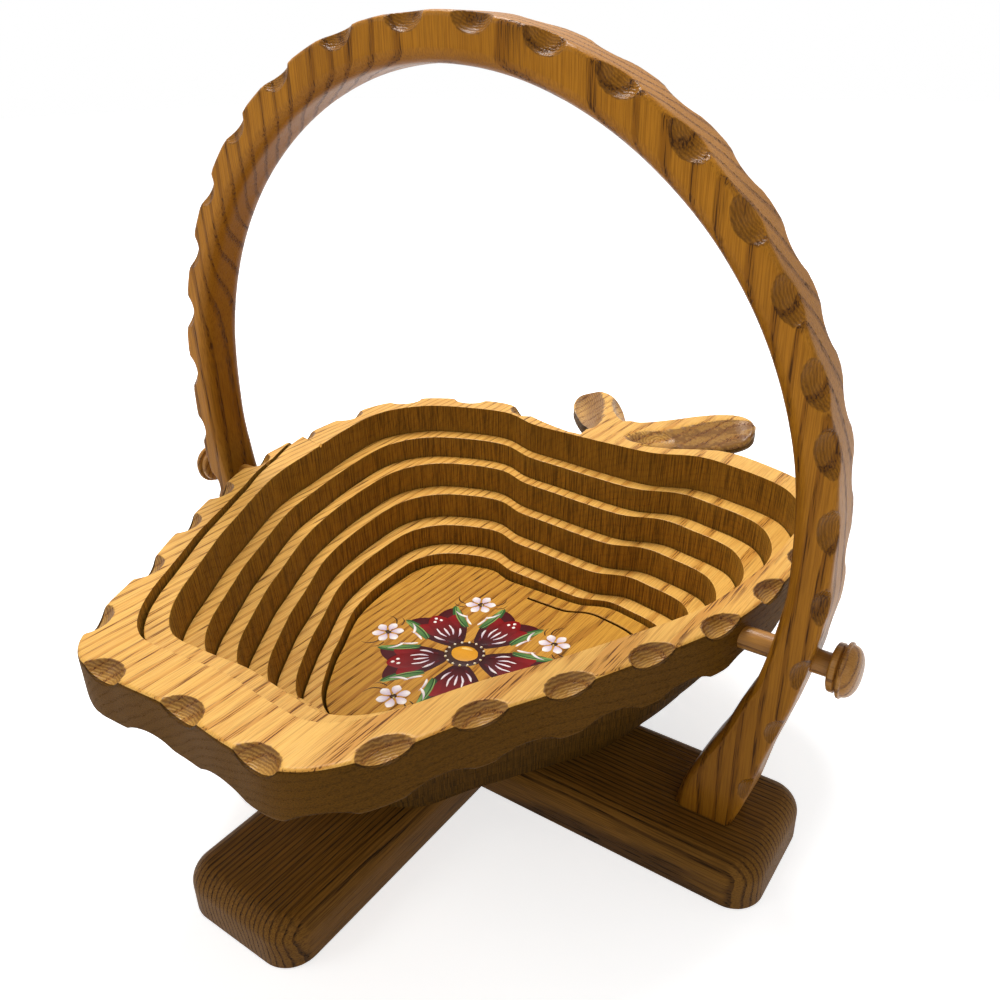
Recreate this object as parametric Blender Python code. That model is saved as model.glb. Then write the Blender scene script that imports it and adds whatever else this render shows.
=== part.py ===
"""Collapsible wooden basket: one board sawn into a bevelled spiral that drops open inside an arch handle on crossed feet."""

import bpy
import numpy as np

for old in list(bpy.data.objects):
    bpy.data.objects.remove(old)

# Driving dimensions in metres. X runs along the long foot, Y to the back, Z up; the origin is under the crossing.
stock = 0.019
fit_gap = 0.0003
long_foot_length = 0.280
cross_foot_length = 0.262
foot_width = 0.054
foot_corner_radius = 0.0115
foot_top_round = 0.0075
foot_base_round = 0.0015
handle_side_room = 0.022
handle_height = 0.280
edge_round = 0.0016
peg_height = 0.093
board_width = 0.245
board_depth = 0.260
kerf_width = 0.0014
wedge_gap = 0.0005
dip_fill = 0.0095
tip_width = 0.0009
gouge_spacing = 0.0275
gouge_length = 0.0175
gouge_reach = 0.0075
gouge_drop = 0.0052
side_sag = 0.0050
leaf_inset = 0.0008
leaf_thickness = 0.0120
leaf_round = 0.0018
leaf_scoop_length = 0.050
leaf_scoop_width = 0.016
leaf_scoop_depth = 0.0055
peg_diameter = 0.008
peg_socket_depth = 0.0062
peg_chamfer = 0.0006
collar_diameter = 0.0162
collar_clearance = 0.0060
collar_thickness = 0.0034
head_diameter = 0.0184
head_band = 0.0018
head_dome = 0.0042
screw_shank_diameter = 0.0040
screw_head_diameter = 0.0078
screw_head_depth = 0.0034
leg_screw_length = 0.046
crossing_screw_length = 0.0165
screw_recess = 0.0005
crossing_screw_spacing = 0.032

# Turns of the saw cut, counted from where it enters the left edge of the board; it runs anticlockwise from above.
entry_angle = np.radians(165.5)
loose_turns = 5.5
cut_end_turn = 6.8
strips_per_turn = 4
steps_per_strip = 16
strip_count = round(loose_turns * strips_per_turn)
floor_turn = 1 + loose_turns
round_facets = 20

# Right half of the board's outline, front to back, as shares of half its width and half its depth.
outline_shares = [
    (0.000, -1.042), (0.204, -1.054), (0.367, -1.046), (0.490, -0.938), (0.620, -0.692), (0.735, -0.500),
    (0.857, -0.269), (0.947, -0.062), (0.988, 0.154), (1.000, 0.423), (0.980, 0.646), (0.857, 0.823),
    (0.637, 0.923), (0.473, 0.946), (0.294, 0.869), (0.122, 0.823), (0.000, 0.808),
]
# Stem and leaf beyond the outline, from the stem's left root round to the leaf's front root, in the same shares.
stem_leaf_shares = [
    (-0.086, 0.925), (-0.158, 0.985), (-0.240, 1.068), (-0.296, 1.144), (-0.323, 1.222), (-0.308, 1.286),
    (-0.250, 1.316), (-0.172, 1.290), (-0.090, 1.206), (-0.018, 1.105), (0.028, 1.040), (0.082, 1.052),
    (0.135, 1.100), (0.190, 1.164), (0.247, 1.232), (0.312, 1.290), (0.382, 1.320), (0.442, 1.303),
    (0.486, 1.255), (0.498, 1.195), (0.474, 1.130), (0.430, 1.072), (0.362, 1.012), (0.296, 0.956),
    (0.240, 0.900), (0.204, 0.850),
]
stem_root_angle = np.radians(97)
leaf_root_angle = np.radians(77)
leaf_scoop_centre_shares = (0.262, 1.030)
leaf_scoop_turn = np.radians(40)
dip_half_angle = np.radians(30)

# Radius of the cut as a share of the outline's: this loop, less one step for every turn done. The cut enters from
# the edge over its first few hundredths of a turn, and each turn takes its step inwards a little more gently.
loop_places = [0, 0.111, 0.144, 0.179, 0.2, 0.216, 0.231, 0.29, 0.37, 0.48, 0.54, 0.6, 0.666, 0.7, 0.74, 0.8, 0.87, 0.93]
loop_shares = [0.915, 0.908, 0.914, 0.912, 0.9, 0.882, 0.869, 0.858, 0.865, 0.882, 0.9, 0.92, 0.92, 0.9, 0.889, 0.9,
               0.899, 0.915]
entry_turns = [0, 0.013, 0.034, 0.075]
entry_shares = [0.085, 0.070, 0.028, 0]
turn_step_share = 0.0695
first_ramp_turns = 0.085
ramp_growth = 1.45
ramp_lead_turns = 0.022
# How far the strip has dropped, as a share of the whole drop, by turns past the fixed ring.
drop_turns = np.array([0, 0.85, 1.85, 2.85, 3.85, 4.85, 5.5]) * loose_turns / 5.5
drop_shares = [0, 0.203, 0.362, 0.556, 0.744, 0.905, 1]
# Every loose turn hangs lower still along the right side: shares of the sag by place in the turn.
sag_places = [0.35, 0.5, 0.6, 0.7, 0.76, 0.82, 0.88, 0.94]
sag_shares = [0, 0.6, 1, 1.1, 0.8, 0.35, 0.05, 0]

# One half of the arch, from the foot to the crown: inner x and rise, outer x and rise, as shares of half its width
# and of its rise above the foot.
arch_shares = [
    (0.702, 0.000, 0.855, 0.000), (0.723, 0.045, 0.882, 0.049), (0.767, 0.105, 0.903, 0.106),
    (0.806, 0.152, 0.929, 0.164), (0.841, 0.206, 0.958, 0.225), (0.869, 0.244, 0.972, 0.265),
    (0.896, 0.321, 0.994, 0.340), (0.909, 0.404, 0.999, 0.402), (0.888, 0.539, 0.978, 0.544),
    (0.813, 0.660, 0.901, 0.673), (0.694, 0.761, 0.776, 0.788), (0.543, 0.840, 0.615, 0.880),
    (0.373, 0.897, 0.424, 0.946), (0.190, 0.932, 0.217, 0.987), (0.000, 0.944, 0.000, 1.000),
]

handle_width = board_width + 2 * handle_side_room
foot_top = stock
board_top = peg_height + stock / 2
floor_underside = foot_top + fit_gap
total_drop = board_top - stock - floor_underside
half_board = np.array([board_width, board_depth]) / 2


def material(name, colour, roughness, metallic=0):
    made = bpy.data.materials.new(name)
    made.use_nodes = True
    shader = made.node_tree.nodes["Principled BSDF"]
    shader.inputs["Base Color"].default_value = (*colour, 1)
    shader.inputs["Roughness"].default_value = roughness
    shader.inputs["Metallic"].default_value = metallic
    made.diffuse_color = (*colour, 1)
    return made


def add_piece(name, points, faces, look, origin=(0, 0, 0), smooth=False):
    """A mesh object in world places, with its own origin."""
    mesh = bpy.data.meshes.new(name)
    mesh.from_pydata((np.asarray(points) - origin).tolist(), [], faces)
    mesh.update()
    if smooth:
        mesh.polygons.foreach_set("use_smooth", [len(face) == 4 for face in faces])
    if look:
        mesh.materials.append(material(name, *look))
    made = bpy.data.objects.new(name, mesh)
    made.location = origin
    bpy.context.scene.collection.objects.link(made)
    return made


def hide_helper(tool):
    tool.hide_render = True
    tool.display_type = "WIRE"


def apply_boolean(piece, tool, operation):
    hide_helper(tool)
    change = piece.modifiers.new(tool.name, "BOOLEAN")
    change.operation = operation
    change.solver = "EXACT"
    change.object = tool


def loft(sections):
    """Points and faces of a body through equal closed sections, with a flat face at each end."""
    count, around = sections.shape[:2]
    faces = [
        (i * around + j, i * around + (j + 1) % around, (i + 1) * around + (j + 1) % around, (i + 1) * around + j)
        for i in range(count - 1)
        for j in range(around)
    ]
    faces.append(tuple(reversed(range(around))))
    faces.append(tuple(range((count - 1) * around, count * around)))
    return sections.reshape(-1, 3), faces


def turned(profile, axis, across, centre):
    """A body of revolution: the profile lists places along the axis and radii, from end to end."""
    angles = np.arange(round_facets) * 2 * np.pi / round_facets
    up = np.cross(axis, across)
    ring = np.outer(np.cos(angles), across) + np.outer(np.sin(angles), up)
    return loft(np.array([centre + place * np.array(axis) + radius * ring for place, radius in profile]))


def inset_outline(outline, inset):
    """The closed outline moved inwards by the inset; it runs anticlockwise."""
    ahead = np.roll(outline, -1, 0) - outline
    ahead /= np.linalg.norm(ahead, axis=1)[:, None]
    inward = np.stack([-ahead[:, 1], ahead[:, 0]], 1)
    before = np.roll(inward, 1, 0)
    return outline + inset * (inward + before) / (1 + (inward * before).sum(1))[:, None]


def plate(outline, levels):
    """A plate built of one outline at several heights, each with its inset."""
    return loft(np.array([
        np.column_stack([inset_outline(outline, inset), np.full(len(outline), height)]) for height, inset in levels
    ]))


def box(low, high):
    x, y, z = zip(low, high)
    return plate(np.array([(x[0], y[0]), (x[1], y[0]), (x[1], y[1]), (x[0], y[1])]), [(z[0], 0), (z[1], 0)])


def smooth_curve(rows, samples, closed):
    """Points of a smooth curve through the rows, with as many samples on each span."""
    rows = np.array(rows, float)
    count = len(rows)
    if closed:
        ring = rows[np.arange(-1, count + 2) % count]
    else:
        ring = np.vstack([2 * rows[0] - rows[1], rows, 2 * rows[-1] - rows[-2]])
        count -= 1
    t = (np.arange(samples) / samples)[:, None]
    spans = [
        0.5 * (2 * b + (c - a) * t + (2 * a - 5 * b + 4 * c - d) * t**2 + (3 * b - a - 3 * c + d) * t**3)
        for a, b, c, d in (ring[i : i + 4] for i in range(count))
    ]
    curve = np.vstack(spans)
    return curve if closed else np.vstack([curve, rows[-1]])


def rounded_rectangle(length, width, corner):
    turns = np.linspace(0, np.pi / 2, 6)
    outline = []
    for quarter, (side_x, side_y) in enumerate([(1, 1), (-1, 1), (-1, -1), (1, -1)]):
        for turn in turns + quarter * np.pi / 2:
            outline.append((side_x * (length / 2 - corner) + corner * np.cos(turn),
                            side_y * (width / 2 - corner) + corner * np.sin(turn)))
    return np.array(outline)


def gouge_swell(place, half_shift):
    """How deep the nearest gouge is at a place along an edge, from 0 to 1."""
    off = (place / gouge_spacing + half_shift + 0.5) % 1 - 0.5
    return np.sqrt(max(0, 1 - (off * gouge_spacing / (gouge_length / 2)) ** 2))


def carved_edge(swell, most_reach):
    """Reach over the face, middle share and depth down the side of an edge: rounded, or scooped at a gouge."""
    reach = edge_round + (gouge_reach - edge_round) * swell
    depth = edge_round + (gouge_drop - edge_round) * swell
    return min(reach, most_reach), 0.29 + 0.31 * swell, depth


right_half = np.array(outline_shares)
left_half = right_half[-2:0:-1] * (-1, 1)
board_outline = smooth_curve(np.vstack([right_half, left_half]) * half_board, 24, True)
outline_angles = np.arctan2(board_outline[:, 1], board_outline[:, 0])
outline_radii = np.linalg.norm(board_outline, axis=1)


def outline_radius(angle):
    return np.interp(angle, outline_angles, outline_radii, period=2 * np.pi)


def softened_radius(angle):
    """The outline's radius with its dip at the back partly filled, which the cuts inside it follow."""
    off = (angle - np.pi / 2 + np.pi) % (2 * np.pi) - np.pi
    window = np.clip(np.abs(off) / dip_half_angle, 0, 1)
    return outline_radius(angle) + dip_fill * np.cos(window * np.pi / 2) ** 2


def angle_at(turn):
    return entry_angle + 2 * np.pi * turn


def cut_share(turn):
    steps_done = 0
    for number in range(round(cut_end_turn)):
        ramp = first_ramp_turns * ramp_growth**number
        done = np.clip((turn - number - 1 + ramp_lead_turns) / ramp + 0.5, 0, 1)
        steps_done += done**2 * (3 - 2 * done)
    loop = np.interp(turn, loop_places, loop_shares, period=1)
    return loop + np.interp(turn, entry_turns, entry_shares) - turn_step_share * steps_done


def cut_radius(turn):
    """Outer wall of the cut at the board's top face."""
    return cut_share(turn) * softened_radius(angle_at(turn))


def slant(turn):
    """Radial over square distance across the cut."""
    near = 0.01
    slope = (cut_radius(turn + near) - cut_radius(turn - near)) / (2 * near * 2 * np.pi)
    return np.sqrt(1 + (slope / cut_radius(turn)) ** 2)


def cut_inner_radius(turn):
    return cut_radius(turn) - kerf_width * slant(turn)


def on_chord(radius_at, turn):
    """The radius on the straight facet between the two nearest steps of the strips."""
    steps = strips_per_turn * steps_per_strip
    first = np.floor(turn * steps) / steps
    last = first + 1 / steps
    near, far = radius_at(first), radius_at(last)
    ahead, behind = angle_at(turn) - angle_at(first), angle_at(last) - angle_at(turn)
    return near * far * np.sin(ahead + behind) / (near * np.sin(ahead) + far * np.sin(behind))


def drop_at(turn):
    """Drop of the strip below the fixed ring in the open basket."""
    sag = side_sag * np.interp(turn % 1, sag_places, sag_shares)
    hung = total_drop * np.interp(turn - 1, drop_turns, drop_shares)
    return hung + sag * ((turn > 1) & (turn < np.floor(floor_turn)))


turn_drops = [drop_at(turn + 1) - drop_at(turn) for turn in np.linspace(0, floor_turn, 66)]
wall_lean = (kerf_width - wedge_gap) / max(turn_drops)


def leaned(radius, turn, depth):
    """A sawn wall's radius at a depth below the top face: every wall leans inwards going down."""
    return radius - wall_lean * depth * slant(turn)


def polar(radius, turn, height):
    angle = angle_at(turn)
    return [radius * np.cos(angle), radius * np.sin(angle), height]


honey = ((0.56, 0.33, 0.12), 0.35)
brown = ((0.33, 0.17, 0.06), 0.30)
dark = ((0.24, 0.12, 0.05), 0.35)
steel = ((0.62, 0.62, 0.60), 0.35, 1)

# The two feet, halved into each other at the crossing.
foot_rounds = [(foot_top - foot_top_round * (1 - np.sin(turn)), foot_top_round * (1 - np.cos(turn)))
               for turn in np.linspace(0, np.pi / 2, 5)]
foot_levels = [(0, foot_base_round), (foot_base_round, 0), *foot_rounds]
long_outline = rounded_rectangle(long_foot_length, foot_width, foot_corner_radius)
cross_outline = rounded_rectangle(foot_width, cross_foot_length, foot_corner_radius)
long_foot = add_piece("long_foot", *plate(long_outline, foot_levels), dark)
cross_foot = add_piece("cross_foot", *plate(cross_outline, foot_levels), dark)
notch = foot_width / 2 + fit_gap
long_notch = add_piece("long_notch", *box((-notch, -foot_width, stock / 2), (notch, foot_width, stock * 2)), None)
cross_notch = add_piece("cross_notch", *box((-foot_width, -notch, -stock), (foot_width, notch, stock / 2 + fit_gap)), None)
apply_boolean(long_foot, long_notch, "DIFFERENCE")
apply_boolean(cross_foot, cross_notch, "DIFFERENCE")

# The arch handle, sawn from one board: sections from leg to leg, with thumbnail gouges along its outer edges.
handle_base = foot_top + fit_gap
rise = handle_height - handle_base
right_arch = smooth_curve(arch_shares, 16, False)
arch = np.vstack([right_arch, right_arch[-2::-1] * (-1, 1, -1, 1)])
arch = arch * (handle_width / 2, rise, handle_width / 2, rise) + (0, handle_base, 0, handle_base)
arch_run = np.concatenate([[0], np.cumsum(np.linalg.norm(np.diff(arch[:, 2:], axis=0), axis=1))])
half_places = np.arange(0, arch_run[-1] / 2, gouge_spacing / 6)
arch_places = np.concatenate([arch_run[-1] / 2 - half_places[::-1], arch_run[-1] / 2 + half_places[1:]])
arch_places = np.concatenate([[0], arch_places[arch_places > edge_round], [arch_run[-1]]])
arch_places = arch_places[(arch_places < arch_run[-1] - edge_round) | (arch_places == arch_run[-1])]
arch_sections = []
for place in arch_places:
    inner_x, inner_z, outer_x, outer_z = (np.interp(place, arch_run, column) for column in arch.T)
    inner, outer = np.array([inner_x, inner_z]), np.array([outer_x, outer_z])
    across = (outer - inner) / np.linalg.norm(outer - inner)
    most_reach = np.linalg.norm(outer - inner) * 0.6
    from_crown = place - arch_run[-1] / 2
    near_foot = min(place, arch_run[-1] - place) < gouge_length
    face = stock / 2
    section = [(inner + across * edge_round, -face)]
    for side, shift in ((-1, 0), (1, 0.5)):
        swell = 0 if near_foot else gouge_swell(from_crown, shift)
        reach, middle, depth = carved_edge(swell, most_reach)
        edge = [(outer - across * reach, side * face),
                (outer - across * reach * middle, side * (face - depth * middle)),
                (outer, side * (face - depth))]
        section += edge if side < 0 else edge[::-1]
    section += [(inner + across * edge_round, face), (inner, face - edge_round), (inner, edge_round - face)]
    arch_sections.append([(point[0], y, point[1]) for point, y in section])
handle = add_piece("arch_handle", *loft(np.array(arch_sections)), brown)
leg_rows = right_arch[:, 3] < 0.5
leg_outer = np.interp((peg_height - handle_base) / rise, right_arch[leg_rows, 3], right_arch[leg_rows, 2]) * handle_width / 2
screw_tip_share = (leg_screw_length - handle_base) / rise
tip_sides = [np.interp(screw_tip_share, right_arch[leg_rows, side + 1], right_arch[leg_rows, side]) for side in (0, 2)]
leg_x = np.mean([right_arch[0, 0], right_arch[0, 2], *tip_sides]) * handle_width / 2

# The outer ring: the board's rim from the mouth of the cut all the way round, fixed by the pegs.
run_angles = np.linspace(0, 1, 1441)
run_points = np.array([polar(outline_radius(angle_at(turn)), turn, 0) for turn in run_angles])[:, :2]
outline_run = np.concatenate([[0], np.cumsum(np.linalg.norm(np.diff(run_points, axis=0), axis=1))])
mouth_turn = np.interp(tip_width, outline_radius(angle_at(run_angles[:60])) - cut_radius(run_angles[:60]), run_angles[:60])
ring_gouges = round(outline_run[-1] / gouge_spacing)
ring_turns = np.interp(np.arange(ring_gouges * 6) * outline_run[-1] / (ring_gouges * 6), outline_run, run_angles)
end_turn = 1 - fit_gap / outline_run[-1]
for facet in np.arange(1, strips_per_turn * steps_per_strip) / (strips_per_turn * steps_per_strip):
    ring_turns[np.argmin(np.abs(ring_turns - facet))] = facet
ring_turns = np.concatenate([[mouth_turn], ring_turns[ring_turns > mouth_turn * 1.5], [end_turn]])
ring_sections = []
for turn in ring_turns:
    angle = angle_at(turn)
    place = np.interp(turn, run_angles, outline_run)
    before, here, after = (polar(outline_radius(angle_at(near)), near, 0) for near in (turn - 0.002, turn, turn + 0.002))
    along = np.subtract(after, before)
    inward = np.array([-along[1], along[0], 0]) / np.linalg.norm(along)
    width = outline_radius(angle) - on_chord(cut_radius, turn)
    off_back = abs((angle - (stem_root_angle + leaf_root_angle) / 2 + np.pi) % (2 * np.pi) - np.pi)
    plain = off_back < (stem_root_angle - leaf_root_angle) * 0.75 or width < gouge_reach / 2
    edges = []
    for height, down, shift in ((board_top, -1, 0), (board_top - stock, 1, 0.5)):
        swell = 0 if plain else gouge_swell(place * ring_gouges * gouge_spacing / outline_run[-1], shift)
        reach, middle, depth = carved_edge(swell, width * 0.55)
        edge = [here + inward * reach + (0, 0, height),
                here + inward * reach * middle + (0, 0, height + down * depth * middle),
                here + (0, 0, height + down * depth) * np.ones(3)]
        edges += edge if down < 0 else edge[::-1]
    cut = on_chord(cut_radius, turn)
    lower_cut = on_chord(lambda near: leaned(cut_radius(near), near, stock), turn)
    ring_sections.append([polar(cut, turn, board_top), *edges, polar(lower_cut, turn, board_top - stock)])
ring = add_piece("outer_ring", *loft(np.array(ring_sections)), honey)

# Stem and leaf, one with the ring, thinner than the board and scooped along the leaf.
ring_middle = [
    [(outline_radius(angle) + cut_radius((angle - entry_angle) / (2 * np.pi) + 1)) / 2 * trig(angle)
     for trig in (np.cos, np.sin)]
    for angle in np.linspace(leaf_root_angle, stem_root_angle, 9)
]
stem_leaf = smooth_curve(stem_leaf_shares, 2, False) * half_board
stem_outline = np.vstack([ring_middle, stem_leaf])[::-1]
leaf_top = board_top - leaf_inset
stem_levels = [(leaf_top - leaf_thickness, leaf_round), (leaf_top - leaf_thickness + leaf_round, 0),
               (leaf_top - leaf_round, 0), (leaf_top, leaf_round)]
stem = add_piece("stem_and_leaf", *plate(stem_outline, stem_levels), None)
scoop_rows = [(-np.cos(turn) * leaf_scoop_length / 2, max(np.sin(turn), 0) * leaf_scoop_width / 2)
              for turn in np.linspace(0.06, np.pi - 0.06, 9)]
scoop_axis = np.array([np.cos(leaf_scoop_turn), np.sin(leaf_scoop_turn), 0])
scoop_centre = np.array([*leaf_scoop_centre_shares * half_board, leaf_top])
scoop_points, scoop_faces = turned(scoop_rows, scoop_axis, (0, 0, 1), scoop_centre)
scoop_points[:, 2] = scoop_centre[2] + (scoop_points[:, 2] - scoop_centre[2]) * leaf_scoop_depth / (leaf_scoop_width / 2)
scoop = add_piece("leaf_scoop", scoop_points, scoop_faces, None)
apply_boolean(stem, scoop, "DIFFERENCE")
apply_boolean(ring, stem, "UNION")

# The loose coil: quarter-turn strips one after another down the spiral, each a step lower than the one before.
for number in range(strip_count):
    start, end = 1 + number / strips_per_turn, 1 + (number + 1) / strips_per_turn
    turns = np.linspace(start, end, steps_per_strip + 1)
    end_gap = fit_gap / 2 / (2 * np.pi * cut_radius((start + end) / 2))
    turns[0] += end_gap
    turns[-1] -= end_gap
    strip_sections = []
    for turn in turns:
        top = board_top - drop_at(turn)
        outer = on_chord(lambda near: cut_inner_radius(near - 1), turn)
        outer_low = on_chord(lambda near: leaned(cut_inner_radius(near - 1), near - 1, stock), turn)
        inner = on_chord(cut_radius, turn)
        inner_low = on_chord(lambda near: leaned(cut_radius(near), near, stock), turn)
        strip_sections.append([polar(outer, turn, top), polar(outer_low, turn, top - stock),
                               polar(inner_low, turn, top - stock), polar(inner, turn, top)])
    middle = (start + end) / 2
    centre = polar((cut_inner_radius(middle - 1) + cut_radius(middle)) / 2, middle, board_top - drop_at(middle) - stock / 2)
    add_piece(f"coil_strip_{number + 1:02d}", *loft(np.array(strip_sections)), honey, centre)

# The basket's floor: what is left inside the spiral, with the last of the cut running on into it.
floor_step = 1 / (strips_per_turn * steps_per_strip)
inside = np.arange(floor_turn - 1, cut_end_turn + floor_step / 2, floor_step)
outside = np.arange(floor_turn, cut_end_turn + floor_step / 2, floor_step)[::-1]
floor_rims = []
for depth in (stock, 0):
    rim = [polar(leaned(cut_inner_radius(turn), turn, depth), turn, board_top - total_drop - depth) for turn in inside]
    rim += [polar(leaned(cut_radius(turn), turn, depth), turn, board_top - total_drop - depth) for turn in outside]
    floor_rims.append(rim)
add_piece("basket_floor", *loft(np.array(floor_rims)), honey, (0, 0, board_top - total_drop - stock / 2))

# Turned pegs: through a leg of the arch into the side of the ring.
collar_start = leg_outer + collar_clearance
for name, side in (("left_peg", -1), ("right_peg", 1)):
    rim_side = outline_radius(np.pi if side < 0 else 0)
    start = rim_side - peg_socket_depth + fit_gap
    shaft, collar, head = peg_diameter / 2, collar_diameter / 2, head_diameter / 2
    rim_start = collar_start + collar_thickness
    dome = [(rim_start + head_band + head_dome * np.sin(turn), head * np.cos(turn)) for turn in np.radians([25, 45, 65, 83])]
    profile = [(start, shaft - peg_chamfer), (start + peg_chamfer, shaft), (collar_start, shaft),
               (collar_start + peg_chamfer, collar), (rim_start - peg_chamfer, collar), (rim_start, head - peg_chamfer),
               (rim_start + peg_chamfer, head), (rim_start + head_band, head), *dome]
    axis = np.array([side, 0, 0])
    centre = np.array([0, 0, peg_height])
    add_piece(name, *turned(profile, axis, (0, 1, 0), centre), dark, (side * rim_side, 0, peg_height), True)
    socket_rows = [(rim_side - peg_socket_depth, shaft + fit_gap), (rim_side + peg_socket_depth, shaft + fit_gap)]
    socket = add_piece(name + "_socket", *turned(socket_rows, axis, (0, 1, 0), centre), None)
    apply_boolean(ring, socket, "DIFFERENCE")
bore_rows = [(-handle_width, peg_diameter / 2 + fit_gap), (handle_width, peg_diameter / 2 + fit_gap)]
bore = add_piece("peg_bore", *turned(bore_rows, (1, 0, 0), (0, 1, 0), (0, 0, peg_height)), None)
apply_boolean(handle, bore, "DIFFERENCE")

# Countersunk screws from below: one in each leg of the arch, two where the feet cross.
screws = [("left_leg_screw", -leg_x, leg_screw_length, [long_foot, handle]),
          ("right_leg_screw", leg_x, leg_screw_length, [long_foot, handle]),
          ("left_crossing_screw", -crossing_screw_spacing / 2, crossing_screw_length, [long_foot, cross_foot]),
          ("right_crossing_screw", crossing_screw_spacing / 2, crossing_screw_length, [long_foot, cross_foot])]
for name, x, length, holders in screws:
    shank, head = screw_shank_diameter / 2, screw_head_diameter / 2
    rows = [(screw_recess, head), (screw_recess + screw_head_depth, shank),
            (length - screw_shank_diameter, shank), (length, shank * 0.3)]
    add_piece(name, *turned(rows, (0, 0, 1), (1, 0, 0), (x, 0, 0)), steel, (x, 0, 0), True)
    hole_rows = [(-stock, head + fit_gap), (screw_recess, head + fit_gap), (screw_recess + screw_head_depth, shank + fit_gap),
                 (length + fit_gap, shank + fit_gap)]
    hole = add_piece(name + "_hole", *turned(hole_rows, (0, 0, 1), (1, 0, 0), (x, 0, 0)), None)
    for holder in holders:
        apply_boolean(holder, hole, "DIFFERENCE")
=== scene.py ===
import bpy
import numpy as np
from mathutils import Matrix, Vector


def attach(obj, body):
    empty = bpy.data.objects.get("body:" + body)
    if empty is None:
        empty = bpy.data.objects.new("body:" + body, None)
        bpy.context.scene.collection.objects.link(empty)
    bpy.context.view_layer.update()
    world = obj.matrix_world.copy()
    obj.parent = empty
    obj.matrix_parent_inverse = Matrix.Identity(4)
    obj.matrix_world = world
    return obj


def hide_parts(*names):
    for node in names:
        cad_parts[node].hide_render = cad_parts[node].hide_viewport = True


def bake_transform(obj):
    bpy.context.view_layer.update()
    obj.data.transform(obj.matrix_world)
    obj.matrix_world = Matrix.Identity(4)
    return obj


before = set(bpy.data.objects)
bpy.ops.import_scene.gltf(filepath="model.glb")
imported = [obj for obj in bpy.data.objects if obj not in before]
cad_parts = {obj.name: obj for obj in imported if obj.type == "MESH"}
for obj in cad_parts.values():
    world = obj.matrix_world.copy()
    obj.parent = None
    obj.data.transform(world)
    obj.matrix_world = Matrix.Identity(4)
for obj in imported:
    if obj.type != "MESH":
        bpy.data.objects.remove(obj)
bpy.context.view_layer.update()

# Metres and degrees unless a note says otherwise. X runs along the pegs, Y to the back, Z up.
board = {
    "thick": 0.019, "width": 0.245, "depth": 0.26, "pegHeight": 0.093, "edgeRound": 0.0014, "sandedEdge": 0.0004,
    "overFeet": 0.0003,
}
thick = board["thick"]
boardTop = board["pegHeight"] + thick / 2
boardLow = boardTop - thick
footTop = thick
totalDrop = boardLow - (footTop + board["overFeet"])
halfBoard = np.array([board["width"], board["depth"]]) / 2
kerf = {
    "width": 0.0014, "wedgeGap": 0.0005, "entryAngle": 165.5, "looseTurns": 5.5, "endTurn": 6.8, "turnStep": 0.0695,
    "firstRamp": 0.085, "rampGrowth": 1.45, "rampLead": 0.022, "dipFill": 0.0095, "dipHalfAngle": 30,
    "sideSag": 0.005,
}
fullTurn = 2 * np.pi
up = np.array([0, 0, 1.0])


# Curves and meshes
def smoothCurve(rows, samples, closed=False):
    rows = np.array(rows, float)
    count = len(rows)
    if closed:
        ring = rows[np.arange(-1, count + 2) % count]
    else:
        ring = np.vstack([2 * rows[0] - rows[1], rows, 2 * rows[-1] - rows[-2]])
        count -= 1
    t = (np.arange(samples) / samples)[None, :, None]
    a, b, c, d = (ring[k : k + count][:, None] for k in range(4))
    spans = 0.5 * (2 * b + (c - a) * t + (2 * a - 5 * b + 4 * c - d) * t**2 + (3 * b - a - 3 * c + d) * t**3)
    curve = spans.reshape(-1, rows.shape[1])
    return curve if closed else np.vstack([curve, rows[-1]])


def unit(vectors):
    return vectors / np.linalg.norm(vectors, axis=-1, keepdims=True)


def runAlong(points):
    return np.concatenate([[0], np.cumsum(np.linalg.norm(np.diff(points, axis=0), axis=1))])


def spread(first, last, count):
    # Rows of points in even steps from the first row to the last.
    return [first + (last - first) * share for share in np.linspace(0, 1, count)]


def enclosed(points, faces):
    # Signed volume: a sixth of the triple product over each face's fan.
    total = 0
    for size in {len(face) for face in faces}:
        corners = points[np.array([face for face in faces if len(face) == size])]
        for k in range(1, size - 1):
            total += np.einsum("ij,ij->i", corners[:, 0], np.cross(corners[:, k], corners[:, k + 1])).sum()
    return total / 6


def addMesh(name, points, faces, looks, faceLook=None, sharpAt=38, values=None):
    points = np.asarray(points, float).reshape(-1, 3)
    if enclosed(points, faces) < 0:
        faces = [face[::-1] for face in faces]
    mesh = bpy.data.meshes.new(name)
    mesh.from_pydata(points.tolist(), [], faces)
    for look in looks:
        mesh.materials.append(look)
    mesh.polygons.foreach_set("use_smooth", np.ones(len(faces), bool))
    if faceLook is not None:
        mesh.polygons.foreach_set("material_index", np.asarray(faceLook, np.int32))
    for key, numbers in (values or {}).items():
        numbers = np.asarray(numbers, np.float32)
        kind, field = ("FLOAT_COLOR", "color") if numbers.ndim > 1 else ("FLOAT", "value")
        mesh.attributes.new(key, kind, "POINT").data.foreach_set(field, numbers.ravel())
    mesh.update()
    if sharpAt:
        mesh.set_sharp_from_angle(angle=np.radians(sharpAt))
    made = bpy.data.objects.new(name, mesh)
    bpy.context.scene.collection.objects.link(made)
    return made


def loftFaces(rows, columns):
    # A closed tube of quads between neighbouring rows of points, with a flat face at each end.
    ids = np.arange(rows * columns).reshape(rows, columns)
    aside = np.roll(ids, -1, 1)
    quads = np.stack([ids[:-1], aside[:-1], aside[1:], ids[1:]], -1).reshape(-1, 4)
    return quads.tolist() + [ids[0, ::-1].tolist(), ids[-1].tolist()]


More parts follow.
